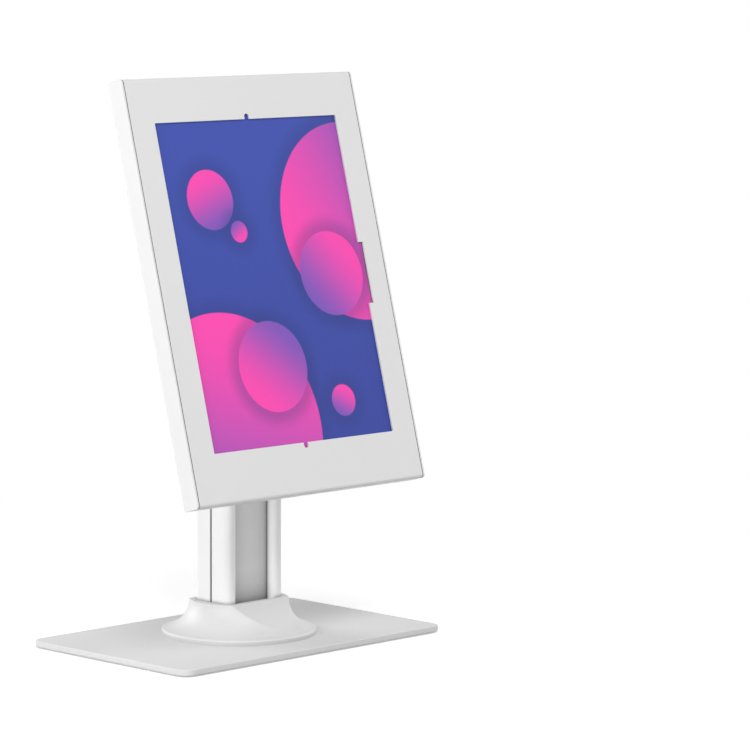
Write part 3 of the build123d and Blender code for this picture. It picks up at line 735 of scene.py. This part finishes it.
class Pattern:
    """A Geometry Nodes tree that sets copies of a mesh on a grid or a circle, then turns and places them."""

    GRID_SIDE = 2

    def __init__(self, name: str, ring: bool) -> None:
        """Build the tree.

        Args:
            name: the tree's name.
            ring: whether the copies stand on a circle, and on a grid otherwise.
        """
        self.tree = bpy.data.node_groups.new(name, "GeometryNodeTree")
        self.sockets: dict[str, str] = {}
        face = self.tree.interface
        face.new_socket("Geometry", in_out="INPUT", socket_type="NodeSocketGeometry")
        face.new_socket("Geometry", in_out="OUTPUT", socket_type="NodeSocketGeometry")
        circle_sizes = [("Radius", "NodeSocketFloat"), ("Count", "NodeSocketInt")]
        grid_sizes = [("Width", "NodeSocketFloat"), ("Depth", "NodeSocketFloat")]
        sizes = circle_sizes if ring else grid_sizes
        for label, kind in [*sizes, ("Centre", "NodeSocketVector"), ("Turn", "NodeSocketRotation"),
                            ("Material", "NodeSocketMaterial")]:
            made = face.new_socket(label, in_out="INPUT", socket_type=kind)
            self.sockets[label] = made.identifier
        nodes, links = self.tree.nodes, self.tree.links
        source, sink = nodes.new("NodeGroupInput"), nodes.new("NodeGroupOutput")
        places = nodes.new("GeometryNodeMeshCircle" if ring else "GeometryNodeMeshGrid")
        if ring:
            links.new(source.outputs["Count"], places.inputs["Vertices"])
            links.new(source.outputs["Radius"], places.inputs["Radius"])
        else:
            places.inputs["Vertices X"].default_value = self.GRID_SIDE
            places.inputs["Vertices Y"].default_value = self.GRID_SIDE
            links.new(source.outputs["Width"], places.inputs["Size X"])
            links.new(source.outputs["Depth"], places.inputs["Size Y"])
        copies = nodes.new("GeometryNodeInstanceOnPoints")
        move = nodes.new("GeometryNodeTransform")
        real = nodes.new("GeometryNodeRealizeInstances")
        skin = nodes.new("GeometryNodeSetMaterial")
        links.new(places.outputs["Mesh"], copies.inputs["Points"])
        links.new(source.outputs["Geometry"], copies.inputs["Instance"])
        links.new(copies.outputs["Instances"], move.inputs["Geometry"])
        links.new(source.outputs["Centre"], move.inputs["Translation"])
        links.new(source.outputs["Turn"], move.inputs["Rotation"])
        links.new(move.outputs["Geometry"], real.inputs["Geometry"])
        links.new(real.outputs["Geometry"], skin.inputs["Geometry"])
        links.new(source.outputs["Material"], skin.inputs["Material"])
        links.new(skin.outputs["Geometry"], sink.inputs["Geometry"])

    def lay(self, name: str, mesh: bpy.types.Mesh, values: dict[str, object]) -> bpy.types.Object:
        """Run the tree on a mesh and keep the result as a plain mesh.

        Args:
            name: the piece's name.
            mesh: the mesh that is repeated.
            values: the tree's inputs by label.

        Returns:
            The finished piece, at the origin.
        """
        seed = bpy.data.objects.new(name + "_seed", mesh)
        bpy.context.scene.collection.objects.link(seed)
        modifier = seed.modifiers.new("pattern", "NODES")
        modifier.node_group = self.tree
        for label, value in values.items():
            modifier[self.sockets[label]] = value
        graph = bpy.context.evaluated_depsgraph_get()
        made = bpy.data.meshes.new_from_object(seed.evaluated_get(graph))
        made.name = name
        bpy.data.objects.remove(seed)
        piece = bpy.data.objects.new(name, made)
        bpy.context.scene.collection.objects.link(piece)
        LOG.info("piece %s: %d faces", name, len(made.polygons))
        return piece


class Frame:
    """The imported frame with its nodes, and the dressing of each."""

    def __init__(self) -> None:
        """Load the frame and note its box."""
        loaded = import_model()
        self.nodes: dict[str, bpy.types.Object] = loaded["nodes"]
        self.joints: list[dict] = loaded["joints"]
        self.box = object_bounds()

    def dress(self, material: bpy.types.Material, *names: str) -> None:
        """Give nodes a material.

        Args:
            material: the finish.
            names: the nodes that wear it.
        """
        for name in names:
            for slot in self.nodes[name].material_slots:
                slot.material = material
            LOG.info("node %s wears %s", name, material.name)

    def write_sizes(self) -> None:
        """Bring the view layer up to date; nothing is written."""
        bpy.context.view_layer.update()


@dataclass
class Stand:
    """The part that stays still: base, feet, pole, collar, bracket and its bolts."""

    frame: Frame
    coat: bpy.types.Material
    base_coat: bpy.types.Material
    pole_coat: bpy.types.Material
    collar_skin: bpy.types.Material
    steel: bpy.types.Material
    rubber: bpy.types.Material
    grid: Pattern
    foot_radius: float = 11.0 * MM
    foot_height: float = 2.5 * MM
    foot_groove: float = 0.5 * MM
    foot_bevel: float = 0.4 * MM
    foot_grooves: int = 3
    head_radius: float = 4.3 * MM
    head_height: float = 2.8 * MM
    socket_half: float = 1.5 * MM
    socket_depth: float = 1.6 * MM
    shank_radius: float = 2.5 * MM
    countersink_radius: float = 4.8 * MM
    countersink_height: float = 2.6 * MM
    rim_share: float = 0.45
    crown_share: float = 1.35
    edge_share: float = 0.12
    dome_steps: int = 6

    def build(self) -> None:
        """Dress the still nodes and lay the screws and feet."""
        self.frame.dress(self.base_coat, "base_plate")
        self.frame.dress(self.coat, "pole_bracket", "pivot_bolts", "clamp_washers")
        self.frame.dress(self.pole_coat, "pole_extrusion")
        self.frame.dress(self.collar_skin, "pole_collar")
        self.frame.dress(self.steel, "clamp_bolts", "clamp_nuts", "pivot_nuts")
        self.lay("bracket_button_screws", "bracket_screws", self.button_screw(), self.steel, Slot.FASTENER)
        self.lay("base_flat_screws", "base_screws", self.flat_screw(), self.steel, Slot.FASTENER)
        self.lay("ribbed_feet", "rubber_feet", self.foot(), self.rubber, Slot.RUBBER)

    def lay(self, name: str, node: str, mesh: bpy.types.Mesh, material: bpy.types.Material,
            slot: Slot) -> None:
        """Repeat a mesh at a node's four places and let it stand for the node.

        Args:
            name: the piece's name.
            node: the node that it replaces.
            mesh: one copy, its underside at height 0.
            material: the finish.
            slot: not used.
        """
        low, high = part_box(node)
        width = high.x - low.x - mesh_width(mesh)
        depth = high.y - low.y - mesh_width(mesh)
        piece = self.grid.lay(name, mesh, {
            "Width": width, "Depth": depth, "Centre": Vector((0.0, (low.y + high.y) / 2, low.z)),
            "Turn": (0.0, 0.0, 0.0), "Material": material})
        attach(piece, "stand")
        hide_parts(node)

    def button_screw(self) -> bpy.types.Mesh:
        """One button-headed screw with a hexagon socket, its tip at height 0.

        Returns:
            The screw's mesh.
        """
        low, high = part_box("bracket_screws")
        top = high.z - low.z
        seat = top - self.head_height
        rim = self.head_height * self.rim_share
        rings = [Ring(self.shank_radius, 0.0), Ring(self.shank_radius, seat), Ring(self.head_radius, seat),
                 Ring(self.head_radius, seat + rim)]
        crown = self.socket_half * self.crown_share
        for step in range(1, self.dome_steps + 1):
            angle = math.pi / 2 * step / self.dome_steps
            radius = crown + (self.head_radius - crown) * math.cos(angle)
            rings.append(Ring(radius, seat + rim + (self.head_height - rim) * math.sin(angle)))
        rings.append(Ring(self.socket_half, top, True))
        rings.append(Ring(self.socket_half, top - self.socket_depth, True))
        return Turning(rings).mesh("button_screw")

    def flat_screw(self) -> bpy.types.Mesh:
        """One countersunk screw seen from below, its head's face at height 0.

        Returns:
            The screw's mesh.
        """
        low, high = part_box("base_screws")
        edge = self.countersink_height * self.edge_share
        rings = [Ring(self.socket_half, self.socket_depth, True), Ring(self.socket_half, 0.0, True),
                 Ring(self.countersink_radius - edge, 0.0), Ring(self.countersink_radius, edge),
                 Ring(self.shank_radius, self.countersink_height), Ring(self.shank_radius, high.z - low.z)]
        return Turning(rings).mesh("flat_screw")

    def foot(self) -> bpy.types.Mesh:
        """One round foot with ring grooves on its sole.

        Returns:
            The foot's mesh.
        """
        rings = []
        pitch = (self.foot_radius - self.foot_bevel) / (self.foot_grooves + 1)
        for index in range(1, self.foot_grooves + 1):
            inner = pitch * index - self.foot_groove
            slope = self.foot_groove / 2
            rings += [Ring(inner, 0.0), Ring(inner + slope, self.foot_groove),
                      Ring(inner + self.foot_groove, self.foot_groove),
                      Ring(inner + self.foot_groove + slope, 0.0)]
        rings += [Ring(self.foot_radius - self.foot_bevel, 0.0), Ring(self.foot_radius, self.foot_bevel),
                  Ring(self.foot_radius, self.foot_height)]
        return Turning(rings).mesh("foot")


def mesh_width(mesh: bpy.types.Mesh) -> float:
    """Measure a mesh along X.

    Args:
        mesh: the mesh.

    Returns:
        Its width.
    """
    across = [vertex.co.x for vertex in mesh.vertices]
    return max(across) - min(across)


@dataclass
class Yoke:
    """The bent sheet that tilts on the bracket."""

    frame: Frame
    coat: bpy.types.Material

    def build(self) -> None:
        """Dress the yoke."""
        self.frame.dress(self.coat, "tilt_yoke")


@dataclass
class Head:
    """The turntable, the tray with its supports, and the lock's fixed parts."""

    frame: Frame
    panel: Panel
    coat: bpy.types.Material
    steel: bpy.types.Material
    plated: bpy.types.Material
    foam: bpy.types.Material
    circle: Pattern
    ring_count: int = 3
    head_radius: float = 2.8 * MM
    head_height: float = 1.8 * MM
    shank_radius: float = 1.5 * MM
    wall_share: float = 0.6
    crown_share: float = 0.8
    socket_half: float = 1.0 * MM
    socket_depth: float = 1.0 * MM
    screw_circle: float = 20.0 * MM

    def build(self) -> None:
        """Dress the head's nodes and lay the turntable's screws."""
        self.frame.dress(self.coat, "hub_ring", "turntable_disc", "mounting_plate", "rear_tray", "upper_rail",
                         "lower_rail", "side_ledge_left", "side_ledge_right")
        self.frame.dress(self.steel, "plate_screws", "lock_nut", "lock_cam", "cam_screw")
        self.frame.dress(self.plated, "lock_housing", "lock_plug")
        self.frame.dress(self.foam, "rail_pads", "tablet_stops")
        self.lay_hub_screws()

    def lay_hub_screws(self) -> None:
        """Lay the turntable's screws on their circle, heads towards the screen."""
        corners = [vertex.co for vertex in self.frame.nodes["hub_screws"].data.vertices]
        front = max(self.panel.reach_of(corner) for corner in corners)
        rear = min(self.panel.reach_of(corner) for corner in corners)
        length = front - rear - self.head_height
        top = length + self.head_height
        rings = [Ring(self.shank_radius, 0.0), Ring(self.shank_radius, length),
                 Ring(self.head_radius, length),
                 Ring(self.head_radius, length + self.head_height * self.wall_share),
                 Ring(self.head_radius * self.crown_share, top), Ring(self.socket_half, top, True),
                 Ring(self.socket_half, top - self.socket_depth, True)]
        screw = Turning(rings).mesh("hub_screw")
        piece = self.circle.lay("turntable_screws", screw, {
            "Radius": self.screw_circle, "Count": self.ring_count, "Centre": self.panel.at(0.0, 0.0, rear),
            "Turn": (math.pi / 2 - self.panel.lean, 0.0, 0.0), "Material": self.steel})
        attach(piece, "head")
        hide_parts("hub_screws")


@dataclass
class Tablet:
    """The tablet in the enclosure, with its lit screen."""

    frame: Frame
    panel: Panel
    shell: bpy.types.Material
    inside: bpy.types.Material
    lens: bpy.types.Material
    design: ScreenDesign

    def build(self) -> None:
        """Dress the tablet's nodes."""
        self.frame.dress(self.shell, "tablet_housing")
        self.frame.dress(self.inside, "tablet_display", "tablet_battery")
        self.frame.dress(self.lens, "tablet_camera")
        low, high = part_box("tablet_glass")
        self.frame.dress(self.design.material(self.panel, (low + high) / 2), "tablet_glass")


@dataclass
class Cover:
    """The front frame round the screen."""

    frame: Frame
    coat: bpy.types.Material

    def build(self) -> None:
        """Dress the cover."""
        self.frame.dress(self.coat, "front_cover", "cover_hooks", "cover_keeper")


@dataclass(frozen=True)
class Lamp:
    """One soft rectangular lamp aimed at the object."""

    name: str
    place: Vector
    size: float
    power: float

    def build(self, target: Vector) -> None:
        """Hang the lamp.

        Args:
            target: the point that it faces.
        """
        data = bpy.data.lights.new(self.name, "AREA")
        data.size = self.size
        data.energy = self.power
        lamp = bpy.data.objects.new(self.name, data)
        lamp.location = self.place
        lamp.rotation_euler = (target - self.place).to_track_quat("-Z", "Y").to_euler()
        bpy.context.scene.collection.objects.link(lamp)


@dataclass(frozen=True)
class Viewpoint:
    """Where the camera stands and looks, as angles round the stand and lengths in metres."""

    target: Vector
    azimuth: float
    elevation: float
    distance: float
    yaw: float
    pitch: float
    roll: float
    lens: float
    near_share: float = 0.05
    far_share: float = 40.0

    def build(self) -> None:
        """Place the camera and make it the scene's."""
        azimuth, elevation = math.radians(self.azimuth), math.radians(self.elevation)
        level = math.cos(elevation)
        back = Vector((math.sin(azimuth) * level, -math.cos(azimuth) * level, math.sin(elevation)))
        yaw, pitch = math.radians(self.yaw), math.radians(self.pitch)
        level = math.cos(pitch)
        look = Vector((-math.sin(yaw) * level, math.cos(yaw) * level, -math.sin(pitch)))
        turn = Matrix.Rotation(math.radians(self.roll), 3, look)
        right = turn @ Vector((math.cos(yaw), math.sin(yaw), 0.0))
        rise = right.cross(look)
        data = bpy.data.cameras.new("camera")
        data.lens = self.lens
        data.clip_start = self.distance * self.near_share
        data.clip_end = self.distance * self.far_share
        camera = bpy.data.objects.new("camera", data)
        axes = Matrix((right, rise, -look)).transposed().to_4x4()
        camera.matrix_world = Matrix.Translation(self.target + back * self.distance) @ axes
        bpy.context.scene.collection.objects.link(camera)
        bpy.context.scene.camera = camera


@dataclass(frozen=True)
class Studio:
    """White studio with a pale floor, soft lamps and a plain ambient."""

    viewpoint: Viewpoint
    lamps: tuple[Lamp, ...]
    floor_half: float = 14.0
    floor_colour: Colour = (0.9, 0.9, 0.9)
    floor_bounce: Colour = (0.5, 0.5, 0.5)
    floor_lift: float = 0.4
    floor_fade: Pair = (0.3, 0.8)
    floor_roughness: float = 0.9
    floor_drop: float = 0.2 * MM
    ambient: float = 0.30

    def build(self) -> None:
        """Build the floor, the lamps, the world and the camera."""
        self.floor()
        for lamp in self.lamps:
            lamp.build(self.viewpoint.target)
        self.world()
        self.viewpoint.build()
        bpy.context.scene.view_settings.view_transform = "Standard"

    def floor(self) -> None:
        """Lay a pale floor that keeps the shadow, looks white, and is clear from below."""
        reach = self.floor_half
        mesh = bpy.data.meshes.new("floor")
        corners = [(-reach, -reach), (reach, -reach), (reach, reach), (-reach, reach)]
        mesh.from_pydata([(x, y, -self.floor_drop) for x, y in corners], [], [tuple(range(len(corners)))])
        floor = bpy.data.objects.new("floor", mesh)
        bpy.context.scene.collection.objects.link(floor)
        paint = Painter("floor")
        paint.settle(Roughness=self.floor_roughness, Specular_IOR_Level=0.0,
                     Emission_Color=opaque(WHITE_LIGHT))
        rays = paint.add("ShaderNodeLightPath")
        seen = paint.math("MAXIMUM", rays.outputs["Is Camera Ray"], rays.outputs["Is Transmission Ray"])
        seen = paint.math("MAXIMUM", seen, rays.outputs["Is Glossy Ray"])
        length = paint.add("ShaderNodeVectorMath")
        length.operation = "LENGTH"
        paint.link(paint.place, length.inputs[0])
        far = paint.spread(length.outputs["Value"], self.floor_fade, WHOLE, smooth=True)
        lift = paint.spread(far, WHOLE, (self.floor_lift, 1.0))
        paint.link(paint.math("MULTIPLY", seen, lift), paint.shader.inputs["Emission Strength"])
        shown = paint.mix(far, self.floor_colour, BLACK)
        paint.link(paint.mix(seen, self.floor_bounce, shown), paint.shader.inputs["Base Color"])
        clear = paint.add("ShaderNodeBsdfTransparent")
        choose = paint.add("ShaderNodeMixShader")
        side = paint.add("ShaderNodeNewGeometry")
        paint.link(side.outputs["Backfacing"], choose.inputs["Fac"])
        paint.link(paint.shader.outputs["BSDF"], choose.inputs[1])
        paint.link(clear.outputs["BSDF"], choose.inputs[2])
        paint.link(choose.outputs["Shader"], paint.output.inputs["Surface"])
        mesh.materials.append(paint.material)
        floor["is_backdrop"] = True

    def world(self) -> None:
        """Make a plain ambient that cameras and reflections see as white."""
        world = bpy.data.worlds.new("studio")
        world.use_nodes = True
        tree = world.node_tree
        tree.nodes.clear()
        rays = tree.nodes.new("ShaderNodeLightPath")
        seen = rays.outputs["Is Camera Ray"]
        for kind in ("Is Transmission Ray", "Is Glossy Ray"):
            either = tree.nodes.new("ShaderNodeMath")
            either.operation = "MAXIMUM"
            tree.links.new(seen, either.inputs[0])
            tree.links.new(rays.outputs[kind], either.inputs[1])
            seen = either.outputs[0]
        level = tree.nodes.new("ShaderNodeMapRange")
        level.inputs["To Min"].default_value = self.ambient
        level.inputs["To Max"].default_value = 1.0
        tree.links.new(seen, level.inputs["Value"])
        light = tree.nodes.new("ShaderNodeBackground")
        light.inputs["Color"].default_value = opaque(WHITE_LIGHT)
        tree.links.new(level.outputs["Result"], light.inputs["Strength"])
        output = tree.nodes.new("ShaderNodeOutputWorld")
        tree.links.new(light.outputs["Background"], output.inputs["Surface"])
        bpy.context.scene.world = world


WHITE = srgb(236, 236, 236)
BASE_WHITE = srgb(228, 228, 228)
POLE_WHITE = srgb(245, 245, 245)
COLLAR_WHITE = srgb(224, 224, 224)

# Painted shade darkens the seams and corners of the sheet parts, the collar and the pole's grooves; on the
# pole a stronger painted shade darkens the web recessed between its columns.
SHEET_PAINTED_SHADE = (PaintedShade(5 * MM, 0.85),)
COLLAR_PAINTED_SHADE = (PaintedShade(8 * MM, 0.6),)
SHADED_WEB_HALF_SIZES = (20.7 * MM, 12.4 * MM)
POLE_PAINTED_SHADE = (PaintedShade(3 * MM, 0.8), PaintedShade(28 * MM, 0.8, (0.45, 1.0), SHADED_WEB_HALF_SIZES))

COAT = PaintedSkin("powder_coat", WHITE, roughness=(0.40, 0.52), peel_size=0.9 * MM, peel_depth=0.02 * MM,
                   mottle_size=60 * MM, mottle_share=0.012, speck_size=2.2 * MM, speck_share=0.05,
                   painted_shades=SHEET_PAINTED_SHADE)
BASE_COAT = replace(COAT, name="base_coat", colour=BASE_WHITE, roughness=(0.64, 0.76), painted_shades=(),
                    gloss=0.12, lacquer=0.0)
POLE_COAT = PaintedSkin("pole_coat", POLE_WHITE, roughness=(0.36, 0.46), peel_size=0.7 * MM,
                        peel_depth=0.012 * MM, mottle_size=90 * MM, mottle_share=0.01,
                        speck_size=3.0 * MM, speck_share=0.03, painted_shades=POLE_PAINTED_SHADE)
COLLAR_SKIN = PaintedSkin("collar_plastic", COLLAR_WHITE, roughness=(0.42, 0.50), peel_size=0.4 * MM,
                          peel_depth=0.006 * MM, mottle_size=40 * MM, mottle_share=0.01,
                          speck_size=4.0 * MM, speck_share=0.0, painted_shades=COLLAR_PAINTED_SHADE)
STEEL = PlatedMetal("plated_steel", (0.52, 0.53, 0.54), roughness=(0.32, 0.48), mark_size=0.5 * MM,
                    mark_stretch=6.0, mark_depth=0.01 * MM)
PLATED = PlatedMetal("satin_nickel", (0.60, 0.60, 0.61), roughness=(0.20, 0.34), mark_size=0.35 * MM,
                     mark_stretch=10.0, mark_depth=0.006 * MM)
SHELL = PlatedMetal("anodised_shell", (0.42, 0.43, 0.45), roughness=(0.36, 0.44), mark_size=0.25 * MM,
                    mark_stretch=1.0, mark_depth=0.006 * MM)
RUBBER = SoftSkin("foot_rubber", (0.022, 0.022, 0.022), roughness=(0.72, 0.86), cell_size=0.5 * MM,
                  cell_depth=0.03 * MM, dust_share=0.2)
FOAM = SoftSkin("pale_foam", (0.55, 0.55, 0.55), roughness=(0.86, 0.95), cell_size=0.8 * MM,
                cell_depth=0.12 * MM, dust_share=0.05)
INSIDE = SoftSkin("dark_inside", (0.02, 0.02, 0.024), roughness=(0.4, 0.6), cell_size=1.2 * MM,
                  cell_depth=0.02 * MM, dust_share=0.2)
LENS = LensCover("lens_cover", (0.012, 0.012, 0.016), tint_colour=(0.02, 0.03, 0.06), tint_size=2.0 * MM)

VIEW = Viewpoint(Vector((0.0, 0.0, 0.25)), azimuth=-43.409, elevation=6.217, distance=3.244, yaw=-45.410,
                 pitch=6.703, roll=-0.2443, lens=188.04)

LAMPS = (
    Lamp("left", Vector((-2.85, -0.75, 0.70)), size=1.3, power=43.0),
    Lamp("right", Vector((2.85, -0.80, 0.70)), size=1.3, power=32.0),
    Lamp("overhead", Vector((-1.10, -1.80, 2.50)), size=1.4, power=36.0),
    Lamp("rear", Vector((-0.75, 2.80, 0.95)), size=1.6, power=42.0),
)


def build_all() -> list[Callable[[], None]]:
    """Make the sub-assemblies in order.

    Returns:
        What builds each of them, and last what brings the view layer up to date.
    """
    frame = Frame()
    panel = Panel.from_joint(frame.joints, "head_turn")
    coat, steel = COAT.material(), STEEL.material()
    low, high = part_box("tablet_glass")
    design = ScreenDesign("lit_screen", (high.x - low.x) / 2)
    stand = Stand(frame, coat, BASE_COAT.material(), POLE_COAT.material(), COLLAR_SKIN.material(), steel,
                  RUBBER.material(), Pattern("four_corners", ring=False))
    head = Head(frame, panel, coat, steel, PLATED.material(), FOAM.material(),
                Pattern("screw_circle", ring=True))
    tablet = Tablet(frame, panel, SHELL.material(), INSIDE.material(), LENS.material(), design)
    studio = Studio(VIEW, LAMPS)
    return [studio.build, stand.build, Yoke(frame, coat).build, head.build, tablet.build,
            Cover(frame, coat).build, frame.write_sizes]


def main() -> None:
    """Build every sub-assembly and the studio."""
    logging.basicConfig(level=logging.INFO, format="%(name)s: %(message)s")
    for step in build_all():
        step()


if __name__ == "__main__":
    main()
